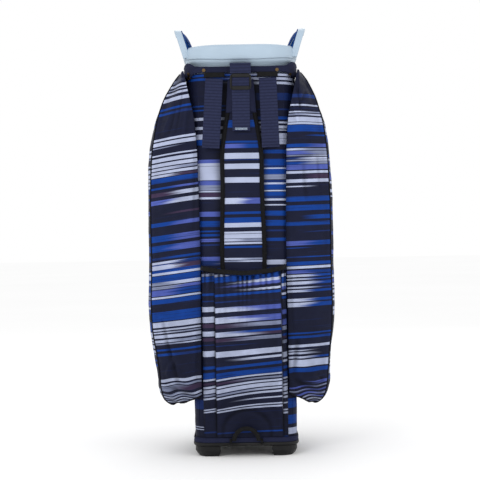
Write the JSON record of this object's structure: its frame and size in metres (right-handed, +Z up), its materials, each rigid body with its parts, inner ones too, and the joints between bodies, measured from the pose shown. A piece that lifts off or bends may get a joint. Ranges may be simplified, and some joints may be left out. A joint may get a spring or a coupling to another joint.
{
  "type": "golf cart bag",
  "caption": "Standing cart golf bag with a moulded divider collar, lift handles, padded shoulder strap, zipped side and front pockets and an elastic back pocket.",
  "frame": {"origin": "on the floor under the middle of the bag's box", "axes": "+Z up; -Y towards the shoulder strap side; +X to the right when that side is looked at"},
  "size_m": [0.41, 0.3764, 0.93],
  "materials": {
    "black_plastic": "fine moulded texture",
    "navy_webbing": "woven webbing",
    "black_webbing": "woven, soft",
    "trunk_fabric": "coated woven fabric with a blue and white streak print",
    "pocket_fabric": "coated woven fabric with a blue and white streak print",
    "strap_pad_fabric": "padded woven fabric with a blue and white streak print",
    "cuff_fabric": "plain woven fabric",
    "collar_plastic": "satin moulded",
    "grip_lining": "soft satin",
    "divider_cloth": "brushed lining cloth",
    "stay_rod": "pultruded rod",
    "brass_rivet": "polished",
    "zip_metal": "bright plated",
    "zip_tape": "coil and tape",
    "zip_pull": "moulded pull"
  },
  "bodies": {
    "bag": {"base_tray": "black_plastic", "foot_back_left": "black_plastic", "foot_back_right": "black_plastic", "foot_front_left": "black_plastic", "foot_front_right": "black_plastic", "bottom_binding": "navy_webbing", "trunk_front_panel": "trunk_fabric", "trunk_left_panel": "trunk_fabric", "trunk_back_panel": "trunk_fabric", "trunk_right_panel": "trunk_fabric", "stay_rod_left": "stay_rod", "stay_rod_right": "stay_rod", "top_collar": "collar_plastic", "handle_grip_left": "grip_lining", "handle_grip_right": "grip_lining", "collar_lip": "collar_plastic", "cuff_band": "cuff_fabric", "divider_grid": "collar_plastic", "divider_wall_back": "divider_cloth", "divider_wall_middle": "divider_cloth", "divider_wall_front": "divider_cloth", "strap_pad": "strap_pad_fabric", "strap_webbing": "navy_webbing", "strap_anchor_tab": "navy_webbing", "web_keeper_left": "black_webbing", "web_keeper_right": "black_webbing", "rear_pocket": "pocket_fabric", "rear_pocket_elastic": "black_webbing", "side_pocket_left": "pocket_fabric", "side_pocket_right": "pocket_fabric", "ball_pocket": "pocket_fabric", "cooler_pocket": "pocket_fabric", "valuables_pocket": "pocket_fabric", "front_handle": "navy_webbing", "towel_ring_tab": "navy_webbing", "rivet_left_outer": "brass_rivet", "rivet_left_lower": "brass_rivet", "rivet_left_inner": "brass_rivet", "rivet_right_inner": "brass_rivet", "rivet_right_outer": "brass_rivet", "zip_track_side_left": "zip_tape", "zip_track_side_right": "zip_tape", "zip_track_ball": "zip_tape", "zip_track_cooler": "zip_tape", "zip_track_valuables": "zip_tape"},
    "web_strap_left": {"web_strap_left": "navy_webbing"},
    "web_strap_right": {"web_strap_right": "navy_webbing"},
    "strap_slider": {"strap_slider": "black_plastic"},
    "base_handle": {"base_handle": "black_webbing"},
    "towel_ring": {"towel_ring": "zip_metal"},
    "zip_slider_side_left": {"zip_slider_side_left": "zip_metal"},
    "zip_pull_side_left": {"zip_pull_side_left": "zip_pull"},
    "zip_slider_side_right": {"zip_slider_side_right": "zip_metal"},
    "zip_pull_side_right": {"zip_pull_side_right": "zip_pull"},
    "zip_slider_ball": {"zip_slider_ball": "zip_metal"},
    "zip_pull_ball": {"zip_pull_ball": "zip_pull"},
    "zip_slider_cooler": {"zip_slider_cooler": "zip_metal"},
    "zip_pull_cooler": {"zip_pull_cooler": "zip_pull"},
    "zip_slider_valuables": {"zip_slider_valuables": "zip_metal"},
    "zip_pull_valuables": {"zip_pull_valuables": "zip_pull"}
  },
  "joints": [
    {"name": "web_left_swing", "type": "hinge", "parent": "bag", "child": "web_strap_left", "pos_m": [-0.0562, -0.1697, 0.8098], "axis": [-1, 0, 0], "range_deg": [0, 95]},
    {"name": "web_right_swing", "type": "hinge", "parent": "bag", "child": "web_strap_right", "pos_m": [0.0578, -0.1697, 0.8098], "axis": [-1, 0, 0], "range_deg": [0, 95]},
    {"name": "strap_slider_travel", "type": "slide", "parent": "bag", "child": "strap_slider", "axis": [0, 0, -1], "range_m": [0, 0.075]},
    {"name": "base_handle_swing", "type": "hinge", "parent": "bag", "child": "base_handle", "pos_m": [0, -0.1705, 0.036], "axis": [1, 0, 0], "range_deg": [0, 100]},
    {"name": "towel_ring_swing", "type": "hinge", "parent": "bag", "child": "towel_ring", "pos_m": [0.079, 0.0625, 0.801], "axis": [1, 0, 0], "range_deg": [-5, 100]},
    {"name": "zip_side_left_travel", "type": "slide", "parent": "bag", "child": "zip_slider_side_left", "axis": [0, 0, -1], "range_m": [0, 0.3]},
    {"name": "zip_side_left_pull_swing", "type": "hinge", "parent": "zip_slider_side_left", "child": "zip_pull_side_left", "pos_m": [-0.154, 0.0656, 0.565], "axis": [1, 0, 0], "range_deg": [0, 170]},
    {"name": "zip_side_right_travel", "type": "slide", "parent": "bag", "child": "zip_slider_side_right", "axis": [0, 0, -1], "range_m": [0, 0.3]},
    {"name": "zip_side_right_pull_swing", "type": "hinge", "parent": "zip_slider_side_right", "child": "zip_pull_side_right", "pos_m": [0.154, 0.0656, 0.565], "axis": [1, 0, 0], "range_deg": [0, 170]},
    {"name": "zip_ball_travel", "type": "slide", "parent": "bag", "child": "zip_slider_ball", "axis": [-1, 0, 0], "range_m": [0, 0.116]},
    {"name": "zip_ball_pull_swing", "type": "hinge", "parent": "zip_slider_ball", "child": "zip_pull_ball", "pos_m": [0.058, 0.1876, 0.37], "axis": [1, 0, 0], "range_deg": [0, 170]},
    {"name": "zip_cooler_travel", "type": "slide", "parent": "bag", "child": "zip_slider_cooler", "axis": [-1, 0, 0], "range_m": [0, 0.108]},
    {"name": "zip_cooler_pull_swing", "type": "hinge", "parent": "zip_slider_cooler", "child": "zip_pull_cooler", "pos_m": [0.054, 0.1556, 0.57], "axis": [1, 0, 0], "range_deg": [0, 170]},
    {"name": "zip_valuables_travel", "type": "slide", "parent": "bag", "child": "zip_slider_valuables", "axis": [-1, 0, 0], "range_m": [0, 0.096]},
    {"name": "zip_valuables_pull_swing", "type": "hinge", "parent": "zip_slider_valuables", "child": "zip_pull_valuables", "pos_m": [0.048, 0.1196, 0.716], "axis": [1, 0, 0], "range_deg": [0, 170]}
  ]
}
